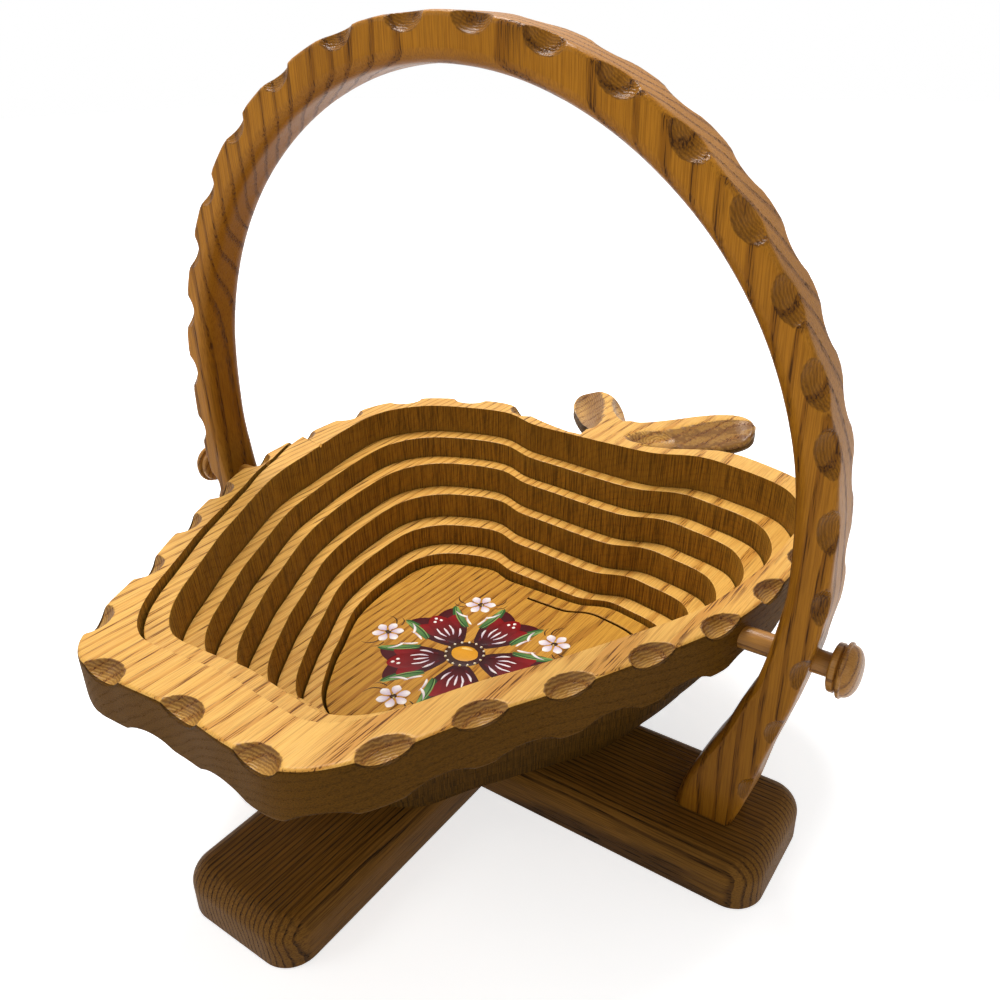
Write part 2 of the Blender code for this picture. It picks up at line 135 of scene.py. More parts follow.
def loft(name, points, looks, look=0, endLooks=(0, 0), sharpAt=38, **values):
    # A wooden piece from rows of points. Its look goes by row and column, and so do its values.
    rows, columns = points.shape[:2]
    faceLook = np.broadcast_to(look, (rows - 1, columns)).ravel().tolist() + [*endLooks]
    values = {key: np.broadcast_to(numbers, (rows, columns)).ravel() for key, numbers in values.items()}
    return addMesh(name, points, loftFaces(rows, columns), [woods[each] for each in looks], faceLook, sharpAt, values)


# Gouges. The mark is what the material draws the tool's rings and the gouge's painted shade from: the least value
# anywhere in a gouge, plus the distance from a place aside of its middle.
gougeMark = {"least": 0.2, "aside": 0.5}
borderSlack = 0.0001
rimEasing, rimWide = 0.7, 2


def scoop(points, centre, axes, radii, carved, straight=False):
    # The points nearest to the border of the gouge's ellipsoid are first moved onto it along the mesh's own edges.
    # Then those inside are pushed out to its surface, or only downwards where the gouge is straight.
    axes, radii = np.array(axes), np.array(radii)
    for rowStep, columnStep in ((0, 1), (1, 0)):
        local = (points - centre) @ axes.T / radii
        first = local[: len(local) - rowStep, : local.shape[1] - columnStep]
        second = local[rowStep:, columnStep:]
        firstSize, secondSize = (np.linalg.norm(side, axis=-1) for side in (first, second))
        isIn = np.minimum(firstSize, secondSize) < 1 - borderSlack
        i, j = np.nonzero(isIn & (np.maximum(firstSize, secondSize) > 1 + borderSlack))
        a, step = first[i, j], second[i, j] - first[i, j]
        # The share of the edge at which its length from the centre is one.
        square, half = (step * step).sum(1), (a * step).sum(1)
        root = np.sqrt(np.maximum(half**2 - square * ((a * a).sum(1) - 1), 0))
        share = (np.where(firstSize[i, j] < 1, root, -root) - half) / square
        border = points[i, j] + share[:, None] * (points[i + rowStep, j + columnStep] - points[i, j])
        far = share > 0.5
        points[i + rowStep * far, j + columnStep * far] = border
    local = (points - centre) @ axes.T / radii
    if straight:
        flat = np.hypot(local[..., 0], local[..., 1])
        lowest = -np.sqrt(1 - np.minimum(flat, 1) ** 2)
        inside = (flat < 1) & (local[..., 2] > lowest)
        points[inside, 2] = centre[2] + radii[2] * lowest[inside]
        on = local[inside]
    else:
        size = np.linalg.norm(local, axis=-1)
        inside = size < 1
        on = local[inside] / np.maximum(size[inside], 1e-6)[:, None]
        points[inside] = centre + (on * radii) @ axes
    carved[inside] = gougeMark["least"] + np.hypot(on[:, 0], on[:, 1] - gougeMark["aside"])


def soften(points, carved, rounds):
    # Rounds the gouges' rims: points near a border move towards the middle of their four neighbours on the grid.
    # Gives back the gouges' soft-edged mask, and spreads carved a little past their borders.
    def beside(values):
        return [np.roll(values, step, axis) for step in (-1, 1) for axis in (0, 1)]

    cut = carved > 0
    near = np.any([other != cut for other in beside(cut)], axis=0)
    for _ in range(rimWide):
        near = near | np.any(beside(near), axis=0)
    near[[0, -1]] = False
    for _ in range(rounds):
        points += (sum(beside(points)) / 4 - points) * near[..., None] * rimEasing
    mask = cut.astype(float)
    for _ in range(rimWide):
        mask = (mask + sum(beside(mask)) / 4) / 2
        carved[...] = np.where(carved > 0, carved, np.max(beside(carved), axis=0))
    return mask


# Materials
class Nodes:
    def __init__(self, owner, last="Principled BSDF"):
        owner.use_nodes = True
        self.owner, self.tree = owner, owner.node_tree
        self.shader = self.tree.nodes[last]

    def add(self, kind, **settings):
        node = self.tree.nodes.new(kind)
        for key, value in settings.items():
            setattr(node, key, value)
        return node

    def put(self, socket, value):
        if isinstance(value, bpy.types.NodeSocket):
            self.tree.links.new(value, socket)
        else:
            socket.default_value = value

    def feed(self, node, *values):
        for socket, value in zip(node.inputs, values):
            self.put(socket, value)
        return node.outputs[0]

    def fill(self, node, sockets):
        # Numbers, colours and links for a node's sockets by name.
        for key, value in sockets.items():
            if value is not None:
                self.put(node.inputs[key], value)

    def maths(self, operation, *values):
        return self.feed(self.add("ShaderNodeMath", operation=operation), *values)

    def plus(self, first, second):
        return self.maths("ADD", first, second)

    def less(self, first, second):
        return self.maths("SUBTRACT", first, second)

    def times(self, first, second):
        return self.maths("MULTIPLY", first, second)

    def joined(self, *values):
        return self.feed(self.add("ShaderNodeCombineXYZ"), *values)

    def mapped(self, value, low, high, toLow=0.0, toHigh=1.0, kind="SMOOTHSTEP"):
        return self.feed(self.add("ShaderNodeMapRange", interpolation_type=kind), value, low, high, toLow, toHigh)

    def noise(self, place, scale, detail=2.0, rough=0.5, shift=0.0):
        if shift:
            moved = self.add("ShaderNodeVectorMath", operation="ADD")
            place = self.feed(moved, place, (shift, shift * 1.7, shift * 0.6))
        node = self.add("ShaderNodeTexNoise")
        self.fill(node, {"Vector": place, "Scale": scale, "Detail": detail, "Roughness": rough})
        return node.outputs["Fac"]

    def blend(self, share, first, second, mode="MIX"):
        node = self.add("ShaderNodeMix", data_type="RGBA", blend_type=mode)
        self.put(node.inputs[0], share)
        for socket, value in zip(node.inputs[6:8], (first, second)):
            self.put(socket, (*value, 1) if isinstance(value, tuple) else value)
        return node.outputs[2]

    def bump(self, height, distance, strength, under=None):
        node = self.add("ShaderNodeBump")
        self.fill(node, {"Height": height, "Distance": distance, "Strength": strength, "Normal": under})
        return node.outputs[0]

    def attribute(self, key, output="Fac"):
        return self.add("ShaderNodeAttribute", attribute_name=key).outputs[output]

    def place(self):
        return self.add("ShaderNodeTexCoord").outputs["Object"]


def rgb(code):
    # A six-digit sRGB code as linear colour.
    share = np.array([int(code[k : k + 2], 16) for k in (0, 2, 4)]) / 255
    return tuple(float(x) for x in np.where(share <= 0.04045, share / 12.92, ((share + 0.055) / 1.055) ** 2.4))


# Colours of light wood, dark wood and pores, then the strength of pores, rings and fibres, roughness, coat and shine.
woodValues = {
    "boardTop": ("E6B258", "C68836", "5C320C", 1.0, 0.45, 0.7, 0.36, 0.06, 0.16),
    # The floor is darker than the board's top: painted shade at the bottom of the basket.
    "floorTop": ("CC9434", "A2681C", "4C2C0C", 1.0, 0.45, 0.7, 0.44, 0.04, 0.12),
    # The board's sides are far darker than its top: painted shade, for sides that stand in shadow.
    "boardSidePaintedShade": ("66430F", "4A300A", "201204", 0.25, 0.1, 0.9, 0.54, 0.0, 0.05),
    "sawnWall": ("AA7824", "845C16", "33200A", 0.1, 0.06, 0.3, 0.56, 0.0, 0.1),
    # The strips' outer walls are the same saw cut as the sawn walls, far darker: painted shade inside the kerf.
    "sawnOuterPaintedShade": ("5C3D10", "46300A", "1E1204", 0.1, 0.06, 0.3, 0.56, 0.0, 0.05),
    "handle": ("BE7E22", "8E5812", "3C2208", 0.9, 0.45, 0.6, 0.3, 0.04, 0.08),
    "longFoot": ("8E6226", "543610", "1A0E03", 0.9, 0.5, 0.75, 0.44, 0.0, 0.08),
    "crossFoot": ("845A22", "4C300E", "1A0E03", 0.9, 0.5, 0.75, 0.44, 0.0, 0.08),
    "peg": ("B07A32", "82521A", "44260C", 0.8, 0.45, 0.45, 0.28, 0.15, 0.2),
}
# How each piece lies in its log. The basket's five looks are cut from one board, with the pattern of the flat board.
boardGrain = dict(grain="y", pith=(0.075, -0.03), ring=0.003, wander=0.006, endGrainAndShadeTone=0.62, dropped=True)
footGrain = dict(ring=0.0021, wander=0.0036)
grainValues = {
    "handle": dict(grain="z", pith=(0.02, 0.1), ring=0.005, wander=0.007),
    "longFoot": dict(grain="x", pith=(0.14, -0.005), **footGrain),
    "crossFoot": dict(grain="y", pith=(-0.14, -0.005), **footGrain),
    "peg": dict(grain="x", pith=(0.006, 0.086), ring=0.0022, wander=0.002),
}
# Each noise in the wood: squeeze along the grain, scale, detail, roughness and shift.
grainNoises = {
    "drift": (0.22, 22, 2, 0.5, 0), "ripple": (0.12, 160, 2, 0.5, 3.1), "pores": (0.03, 2000, 1.5, 0.6, 1.3),
    "fibre": (0.02, 2600, 2, 0.7, 5.2), "broad": (0.15, 28, 3, 0.55, 8.4),
}
# Ranges are where a pattern starts and is full; reliefs are height and strength.
woodShared = {
    "ripple": 0.0016, "earlyStart": (0, 0.08), "earlyEnd": (0.46, 0.14), "poreRange": (0.5, 0.64), "latePores": 0.18,
    "toneRange": (0.22, 0.95), "broadTone": 0.75, "fibreRange": (0.4, 0.68), "fibreHeight": 0.25,
    "relief": (0.00022, 0.7), "sawNoise": (1900, 2, 0.7), "sawSqueeze": 0.03, "sawRange": (0.38, 0.66),
    "sawTone": 0.72, "sawRelief": (0.0003, 0.6), "gougeRange": (0.2, 0.7), "ringNoise": (420, 2), "ringBend": 0.12,
    "toolRings": 66, "toolRelief": (0.00005, 0.6), "toolTone": 0.22, "gougeShadeRange": (0.45, 1.45), "innerPaintedShade": 0.38,
    "legPaintedShade": (0.02, 0.2, 0.34, 0), "poreRough": 0.25, "broadRough": 0.12, "gougeGloss": 0.12, "coatRough": 0.2,
}


def wood(name, light, mid, pore, streak, ringTone, fibreTone, gloss, coat, shine, grain, pith, ring, wander,
         endGrainAndShadeTone=0.32, dropped=False):
    # Rings are distance from a wandering pith over the ring spacing; pores are noise drawn out along the grain.
    n, shared = Nodes(bpy.data.materials.new(name)), woodShared
    light, mid, pore = rgb(light), rgb(mid), rgb(pore)
    place = n.place()
    parts = n.add("ShaderNodeSeparateXYZ")
    n.feed(parts, place)
    across, through, along = (parts.outputs[k] for k in {"x": (1, 2, 0), "y": (0, 2, 1), "z": (0, 1, 2)}[grain])
    if dropped:
        # A strip's drop is added to its height.
        through = n.plus(through, n.attribute("drop"))

    def grainNoise(key):
        squeeze, *settings = grainNoises[key]
        return n.noise(n.joined(across, through, n.times(along, squeeze)), *settings)

    drift = n.times(n.less(grainNoise("drift"), 0.5), wander * 2)
    ripple = n.times(n.less(grainNoise("ripple"), 0.5), shared["ripple"])
    a, b = n.less(across, pith[0]), n.less(through, pith[1])
    far = n.maths("SQRT", n.plus(n.times(a, a), n.times(b, b)))
    phase = n.maths("FRACT", n.maths("DIVIDE", n.plus(n.plus(far, drift), ripple), ring))
    early = n.times(n.mapped(phase, *shared["earlyStart"]), n.mapped(phase, *shared["earlyEnd"]))
    pores = n.mapped(grainNoise("pores"), *shared["poreRange"])
    porous = n.times(pores, n.plus(n.times(early, 1 - shared["latePores"]), shared["latePores"]))
    fibre, broad = grainNoise("fibre"), grainNoise("broad")
    tone = n.plus(n.times(early, ringTone), n.times(broad, shared["broadTone"]))
    base = n.blend(n.mapped(tone, *shared["toneRange"]), light, mid)
    base = n.blend(n.times(n.mapped(fibre, *shared["fibreRange"]), fibreTone), base, mid)
    colour = n.blend(n.times(porous, streak), base, pore)
    normal = n.bump(n.less(n.times(fibre, shared["fibreHeight"]), porous), *shared["relief"])
    rougher = n.plus(n.times(porous, shared["poreRough"]), n.times(broad, shared["broadRough"]))
    if name.startswith("sawn"):
        lines = n.noise(n.joined(n.attribute("run"), n.times(through, shared["sawSqueeze"])), *shared["sawNoise"])
        colour = n.blend(n.times(n.mapped(lines, *shared["sawRange"]), shared["sawTone"]), colour, pore)
        normal = n.bump(lines, *shared["sawRelief"], normal)
    else:
        carved = n.attribute("carved")
        inGouge = n.mapped(n.attribute("gouged"), *shared["gougeRange"])
        bent = n.plus(carved, n.times(n.noise(place, *shared["ringNoise"]), shared["ringBend"]))
        toolRings = n.maths("SINE", n.times(bent, shared["toolRings"]))
        normal = n.bump(n.times(toolRings, inGouge), *shared["toolRelief"], normal)
        # A gouge is darkest at its inner end: partly the end grain it cuts across, partly painted shade.
        ends = n.mapped(carved, *shared["gougeShadeRange"], 0.0, endGrainAndShadeTone)
        shade = n.times(inGouge, n.plus(ends, n.mapped(toolRings, -1.0, 1.0, 0.0, shared["toolTone"])))
        colour = n.blend(shade, colour, pore)
        rougher = n.less(rougher, n.times(inGouge, shared["gougeGloss"]))
    # Painted shade on the handle: darker across its inner face and towards the foot of each leg.
    if name == "handle":
        inner = n.mapped(n.attribute("inner"), 0.0, 1.0, 0.0, shared["innerPaintedShade"])
        colour = n.blend(n.maths("MAXIMUM", inner, n.mapped(along, *shared["legPaintedShade"])), colour, pore)
    n.fill(n.shader, {
        "Base Color": colour, "Roughness": n.plus(rougher, gloss), "Normal": normal, "Coat Weight": coat,
        "Coat Roughness": shared["coatRough"], "Specular IOR Level": shine})
    return n.owner


woods = {name: wood(name, *values, **grainValues.get(name, boardGrain)) for name, values in woodValues.items()}

# The board's outline and the law of the saw cut, the same as the solids' but sampled finely.
rightShares = [
    (0.0, -1.042), (0.204, -1.054), (0.367, -1.046), (0.49, -0.938), (0.62, -0.692), (0.735, -0.5),
    (0.857, -0.269), (0.947, -0.062), (0.988, 0.154), (1.0, 0.423), (0.98, 0.646), (0.857, 0.823),
    (0.637, 0.923), (0.473, 0.946), (0.294, 0.869), (0.122, 0.823), (0.0, 0.808),
]
right = np.array(rightShares)
outline = smoothCurve(np.vstack([right, right[-2:0:-1] * (-1, 1)]) * halfBoard, 60, True)
outlineAngles = np.arctan2(outline[:, 1], outline[:, 0])
outlineRadii = np.linalg.norm(outline, axis=1)
loopPlaces = [0, 0.111, 0.144, 0.179, 0.2, 0.216, 0.231, 0.29, 0.37, 0.48, 0.54, 0.6, 0.666, 0.7, 0.74, 0.8, 0.87,
              0.93]
loopShares = [0.915, 0.908, 0.914, 0.912, 0.9, 0.882, 0.869, 0.858, 0.865, 0.882, 0.9, 0.92, 0.92, 0.9, 0.889, 0.9,
              0.899, 0.915]
entryPlaces = [0, 0.013, 0.034, 0.075]
entryShares = [0.085, 0.07, 0.028, 0]
loopSamples = 2400
loopFine = np.interp(np.arange(loopSamples) / loopSamples, loopPlaces, loopShares, period=1)
window = np.hanning(61)
beyond = len(window) // 2
loopLong = np.concatenate([loopFine[-beyond:], loopFine, loopFine[:beyond]])
loopSmooth = np.convolve(loopLong, window / window.sum(), "valid")
dropTurns = [0, 0.85, 1.85, 2.85, 3.85, 4.85, 5.5]
dropShares = [0, 0.203, 0.362, 0.556, 0.744, 0.905, 1]
sagPlaces = [0.35, 0.5, 0.6, 0.7, 0.76, 0.82, 0.88, 0.94]
sagShares = [0, 0.6, 1, 1.1, 0.8, 0.35, 0.05, 0]


def outlineRadius(angle):
    return np.interp(angle, outlineAngles, outlineRadii, period=fullTurn)


def angleAt(turn):
    return np.radians(kerf["entryAngle"]) + fullTurn * np.asarray(turn, float)


def cutShare(turn):
    turn = np.asarray(turn, float)
    stepsDone = 0
    for number in range(round(kerf["endTurn"])):
        ramp = kerf["firstRamp"] * kerf["rampGrowth"] ** number
        done = np.clip((turn - number - 1 + kerf["rampLead"]) / ramp + 0.5, 0, 1)
        stepsDone = stepsDone + done**2 * (3 - 2 * done)
    loop = np.interp(turn * loopSamples, np.arange(loopSamples), loopSmooth, period=loopSamples)
    return loop + np.interp(turn, entryPlaces, entryShares) - kerf["turnStep"] * stepsDone


def cutRadius(turn):
    # The outline with its dip at the back partly filled, times the share.
    angle = angleAt(turn)
    off = (angle - np.pi / 2 + np.pi) % fullTurn - np.pi
    filled = np.clip(np.abs(off) / np.radians(kerf["dipHalfAngle"]), 0, 1)
    return cutShare(turn) * (outlineRadius(angle) + kerf["dipFill"] * np.cos(filled * np.pi / 2) ** 2)


def slant(turn, step=0.01):
    # How much longer the cut is than its turn, because it runs aslant.
    slope = (cutRadius(turn + step) - cutRadius(turn - step)) / (2 * step * fullTurn)
    return np.sqrt(1 + (slope / cutRadius(turn)) ** 2)


def cutInnerRadius(turn):
    return cutRadius(turn) - kerf["width"] * slant(turn)


def dropAt(turn):
    # Every loose turn hangs lower still along the right side.
    turn = np.asarray(turn, float)
    sag = kerf["sideSag"] * np.interp(turn % 1, sagPlaces, sagShares) * ((turn > 1) & (turn < 6))
    return sag + totalDrop * np.interp(turn - 1, dropTurns, dropShares)


sampleTurns = np.linspace(0, 1 + kerf["looseTurns"], 66)
wallLean = (kerf["width"] - kerf["wedgeGap"]) / (dropAt(sampleTurns + 1) - dropAt(sampleTurns)).max()
lean = wallLean * thick


def polar(radius, turn, height):
    angle = angleAt(turn)
    return np.stack([radius * np.cos(angle), radius * np.sin(angle), np.broadcast_to(height, np.shape(angle))], -1)


# Outer ring: the fixed rim, round its edge and scooped by a gouge along the top and bottom corners.
ringValues = {
    "steps": 1150, "innerRows": 5, "outerRows": 22, "sideRows": 24, "lowRows": 12, "wallRows": 5, "arcRows": 5,
    "carvedWidth": 0.0105, "carvedShare": 0.8, "tipWidth": 0.0009, "rootAngle": 86.8, "rootHalfAngle": 8.4,
    "within": 0.9999, "roundShare": 0.4, "leastRound": 0.02, "sideStep": 0.0015,
}
# Gouge radii along the edge, outwards and up; how far its centre lies out from the edge and off the face.
topGouge = {"radii": (0.0096, 0.008, 0.008), "out": 0.0006, "up": 0.0034}
lowGouge = {"radii": (0.0135, 0.0088, 0.008), "out": 0.001, "up": 0.0042}
turns = np.linspace(0, 1, ringValues["steps"])
widths = outlineRadius(angleAt(turns)) - cutRadius(turns)
# The ring starts where it is wide enough to be wood.
mouthTurn = np.interp(ringValues["tipWidth"], widths[:60], turns[:60])
turns = np.concatenate([[mouthTurn], turns[turns > mouthTurn + 0.0004]])


def edgeAt(turns, share=1):
    return polar(outlineRadius(angleAt(turns)) * share, turns, 0)


here = edgeAt(turns, ringValues["within"])
along = unit(edgeAt(turns + ringValues["sideStep"]) - edgeAt(turns - ringValues["sideStep"]))
inward = np.stack([-along[:, 1], along[:, 0], np.zeros(len(turns))], 1)
widths = outlineRadius(angleAt(turns)) - cutRadius(turns)
# The rim's edge is a quarter circle, and runs out to a square edge where the stem and the leaf grow from it.
offRoot = np.abs(np.degrees(angleAt(turns)) % 360 - ringValues["rootAngle"]) - ringValues["rootHalfAngle"]
least = ringValues["leastRound"]
rounding = board["edgeRound"] * np.clip(least + offRoot / 2, least, 1)
rounding = np.minimum(rounding, widths * ringValues["roundShare"])


def ringPoint(reach, height):
    return here + inward * reach[:, None] + up * (height + 0 * reach)[:, None]


topIn = polar(cutRadius(turns), turns, boardTop)
topOut = ringPoint(rounding, boardTop)
carvedPart = np.minimum(ringValues["carvedWidth"], ringValues["carvedShare"] * widths) / widths
mark = topOut + (topIn - topOut) * carvedPart[:, None]
section = spread(topIn, mark, ringValues["innerRows"] + 1)[:-1] + spread(mark, topOut, ringValues["outerRows"])
topRows = len(section)
edgeSwing = np.radians(np.linspace(0, 90, ringValues["arcRows"] + 1)[1:])
section += [ringPoint(rounding * (1 - np.sin(a)), boardTop - rounding * (1 - np.cos(a))) for a in edgeSwing]
section += spread(section[-1], ringPoint(rounding * 0, boardLow + rounding), ringValues["sideRows"])[1:]
section += [ringPoint(rounding * (1 - np.cos(a)), boardLow + rounding * (1 - np.sin(a))) for a in edgeSwing]
lowIn = polar(cutRadius(turns) - lean * slant(turns), turns, boardLow)
section += spread(section[-1], lowIn, ringValues["lowRows"])[1:]
wallStart = len(section)
section += spread(lowIn, topIn, ringValues["wallRows"])[1:-1]
ringPoints = np.stack(section, 1)
ringCarved = np.zeros(ringPoints.shape[:2])

# Gouges along the top corner by their compass angle seen from above; the lower ones sit between them.
topGouges = [257, 271.5, 285, 299, 310.5, 324.5, 340, 354.5, 8.5, 21, 33, 45, 112, 125, 138.5, 152, 166, 181, 197,
             213, 230, 243.5]
widestGap = 20
topAngles = np.radians(topGouges)
sortedTop = np.sort(topAngles % fullTurn)
gaps = np.diff(np.concatenate([sortedTop, sortedTop[:1] + fullTurn]))
lowAngles = (sortedTop + gaps / 2)[gaps < np.radians(widestGap)]


def ringGouge(angle, side, step=0.01):
    turn = ((angle - np.radians(kerf["entryAngle"])) / fullTurn) % 1
    before, at, after = (polar(outlineRadius(angle + k * step), turn + k * step / fullTurn, 0) for k in (-1, 0, 1))
    ahead = unit(after - before)
    outwards = np.array([ahead[1], -ahead[0], 0])
    gouge, height = (topGouge, boardTop) if side > 0 else (lowGouge, boardLow)
    centre = at + outwards * gouge["out"] + up * (height + side * gouge["up"])
    scoop(ringPoints, centre, [ahead, outwards, up], gouge["radii"], ringCarved)


for angles, side in ((topAngles, 1), (lowAngles, -1)):
    for angle in angles:
        ringGouge(angle, side)
ringGouged = soften(ringPoints, ringCarved, 3)
place = np.arange(ringPoints.shape[1])
isSide = (place > topRows + 1) & (place < wallStart - ringValues["lowRows"])
look = np.where(place >= wallStart - 1, 2, np.where(isSide, 1, 0))
ring = loft("outerRing", ringPoints, ("boardTop", "boardSidePaintedShade", "sawnWall"), look, (2, 2), 23,
            run=runAlong(here)[:, None], carved=ringCarved, gouged=ringGouged)
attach(ring, "frame")
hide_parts("outer_ring")
print("ring", ringCarved.size)

# Stem and leaf: each is a plan between two edge curves, in millimetres, from root to tip. Its top and underside round
# over by the distance to those edges, and then come the hollow of the leaf's front half and the gouges.
growthValues = {
    "stations": 170, "topRows": 48, "sideRows": 8, "lowRound": 0.004, "thick": (0.0126, 0.0108), "tipShort": 0.998,
    "evenness": 0.8, "roundAt": (0.3, 0.8), "midrib": (0.6, 0.1), "hollowed": (0.22, 0.97, 0.2), "paintedShadeBoost": 0.45,
    "mark": (1.25, 0.2), "hollowShadeEdges": (4, 40), "softRounds": 4,
}
stemValues = {
    "left": [(-8, 104), (-10.5, 120.3), (-19.4, 128.1), (-29.4, 138.8), (-36.3, 148.7), (-39.6, 158.9),
             (-37.7, 167.2), (-30.6, 171.1)],
    "right": [(14, 104), (9, 124), (3.4, 135.2), (-2.2, 143.7), (-11.0, 156.8), (-21.1, 167.7), (-30.6, 171.1)],
    "gouges": [((-23.5, 142.5, 1.4), 119, (0.033, 0.0084, 0.007)), ((-7, 150.5, 1.4), 124, (0.022, 0.0056, 0.006))],
    "sink": 0.00001, "round": (0.0022, 0.0062),
}
leafValues = {
    "left": [(-6, 112), (-3, 126), (3.4, 135.2), (10.0, 136.8), (16.5, 143.0), (23.3, 151.3), (30.3, 160.2),
             (38.2, 167.6), (46.8, 171.4), (54.1, 169.4), (59.5, 163.2)],
    "right": [(21, 104), (25.0, 110.5), (29.4, 117.0), (36.3, 124.3), (44.3, 131.6), (52.7, 139.4), (58.1, 146.9),
              (61.0, 155.4), (59.5, 163.2)],
    "gouges": [((27.0, 122.5, 1.4), 34, (0.0165, 0.0086, 0.0064))], "sink": 0.00003, "round": (0.002, 0.0026),
    "hollow": 0.0008, "frontDrop": 0.0062,
}


def growth(name, left, right, gouges, sink, round, hollow=0, frontDrop=0):
    edges = []
    share = (1 - np.cos(np.linspace(0, np.pi, growthValues["stations"]))) / 2 * growthValues["tipShort"]
    for side in (left, right):
        curve = smoothCurve(np.array(side) / 1000, 40)
        run = runAlong(curve)
        edges.append(np.stack([np.interp(share, run / run[-1], curve[:, k]) for k in (0, 1)], 1))
    over = np.sin(np.linspace(-1, 1, growthValues["topRows"]) * np.pi / 2)
    over = 0.5 + 0.5 * np.sign(over) * np.abs(over) ** growthValues["evenness"]
    plan = edges[1][:, None] + (edges[0] - edges[1])[:, None] * over[None, :, None]
    rim = np.vstack([edges[0], edges[1][::-1]])
    away = np.linalg.norm(plan[:, :, None] - rim[None, None], axis=-1).min(-1)
    away[:, [0, -1]] = 0
    roundings = np.interp(share, growthValues["roundAt"], round)[:, None], growthValues["lowRound"]
    fall, lift = (size * (1 - np.sqrt(1 - np.clip(1 - away / size, 0, 1) ** 2)) for size in roundings)
    # The front half falls evenly from the midrib, less a sine that hollows it; the midrib bends in an S.
    along = share[:, None]
    middle, bend = growthValues["midrib"]
    midrib = middle - bend * np.sin(2 * np.pi * along)
    way = np.clip((midrib - over[None]) / midrib, 0, 1)
    start, end, ramp = growthValues["hollowed"]
    reach = np.clip((along - start) / ramp, 0, 1) * np.clip((end - along) / ramp, 0, 1)
    reach = reach * reach * (3 - 2 * reach)
    dip = reach * (hollow * np.sin(np.pi * way**0.6) + frontDrop * way)
    top = np.dstack([plan, boardTop - sink - fall - dip])
    low = np.dstack([plan, boardTop - sink - np.interp(along, (0, 1), growthValues["thick"]) + lift])[:, ::4]
    drop = np.linspace(0, 1, growthValues["sideRows"])[1:-1]
    walls = [top[:, [k]] + (low[:, [k]] - top[:, [k]]) * drop[None, :, None] for k in (-1, 0)]
    low = np.concatenate([low[:, :-1], (top[:, [-1]] * (1, 1, 0)) + low[:, [-1]] * (0, 0, 1)], 1)
    points = np.concatenate([top, walls[0], low[:, ::-1], walls[1][:, ::-1]], 1)
    carved = np.zeros(points.shape[:2])
    # The leaf's hollow front half is marked as carved, so the material paints shade on it, darker away from the
    # midrib.
    (least, more), (endEdge, ribEdge) = growthValues["mark"], growthValues["hollowShadeEdges"]
    mark = np.where(hollow, least + more * way, 0)
    carved[:, : top.shape[1]] = mark * np.clip(reach * endEdge, 0, 1) * np.clip(way * ribEdge, 0, 1)
    for centre, turned, radii in gouges:
        a = np.radians(turned)
        axes = [(np.cos(a), np.sin(a), 0), (-np.sin(a), np.cos(a), 0), (0, 0, 1)]
        scoop(points, np.array(centre) / 1000 + (0, 0, boardTop), axes, radii, carved, True)
    # Painted shade: every mark in the stem and the leaf is raised, so the material draws them darker.
    carved += growthValues["paintedShadeBoost"] * (carved > 0)
    gouged = soften(points, carved, growthValues["softRounds"])
    look = np.where(np.arange(points.shape[1]) < growthValues["topRows"] - 1, 0, 1)
    made = loft(name, points, ("boardTop", "boardSidePaintedShade"), look, (1, 1), 26, carved=carved, gouged=gouged)
    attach(made, "frame")
    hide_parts("outer_ring")


growth("stem", **stemValues)
growth("leaf", **leafValues)
print("stem and leaf")

# Loose coil: each eighth of a turn is a piece of its own, set at the drop of its place along the spiral.
coilValues = {"strips": 22, "perTurn": 4, "pieces": 2, "steps": 36, "wallRows": 5, "topRows": 3}
pieceTurn = 1 / coilValues["perTurn"] / coilValues["pieces"]
soft = board["sandedEdge"]
softCorner = soft * 0.29


coilRun = 0
for piece in range(coilValues["strips"] * coilValues["pieces"]):
    number, part = divmod(piece, coilValues["pieces"])
    start, end = 1 + piece * pieceTurn, 1 + (piece + 1) * pieceTurn
    turns = np.linspace(start, end, coilValues["steps"] + 1)
    top = boardTop - dropAt(turns)
    outer, inner = cutInnerRadius(turns - 1), cutRadius(turns)
    outerLow, innerLow = outer - lean * slant(turns - 1), inner - lean * slant(turns)
    wallIn = polar(inner, turns, top - soft)
    section = [
        polar(outer - softCorner, turns, top - softCorner),
        *spread(polar(outer, turns, top - soft), polar(outerLow, turns, top - thick), coilValues["wallRows"]),
        *spread(polar(innerLow, turns, top - thick), wallIn, coilValues["wallRows"]),
        polar(inner + softCorner, turns, top - softCorner),
        *spread(polar(inner + soft, turns, top), polar(outer - soft, turns, top), coilValues["topRows"]),
    ]
    points = np.stack(section, 1)
    place = np.arange(points.shape[1])
    isWall = (place < 2 * coilValues["wallRows"] + 1) & (place > 0)
    look = np.where(place < coilValues["wallRows"], 2, 1) * isWall
    runHere = coilRun + runAlong(wallIn)
    coilRun = runHere[-1]
    strip = loft(f"coilStrip{number + 1:02d}{'ab'[part]}", points, ("boardTop", "sawnWall", "sawnOuterPaintedShade"), look,
                 (1, 1), 20, run=runHere[:, None], drop=(boardTop - top)[:, None])
    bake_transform(strip)
    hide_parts(f"coil_strip_{number + 1:02d}")
print("coil", coilValues["strips"])

# Basket floor: what is left inside the spiral, with the last of the cut running on into it.
floorTurn = 1 + kerf["looseTurns"]
floorTop = boardTop - totalDrop
inside = np.linspace(floorTurn - 1, kerf["endTurn"], 400)
outside = np.linspace(floorTurn, kerf["endTurn"], 100)[::-1]


def floorRim(depth, inset):
    first = cutInnerRadius(inside) - inset - wallLean * depth * slant(inside)
    second = cutRadius(outside) + inset - wallLean * depth * slant(outside)
    return np.vstack([polar(first, inside, floorTop - depth), polar(second, outside, floorTop - depth)])


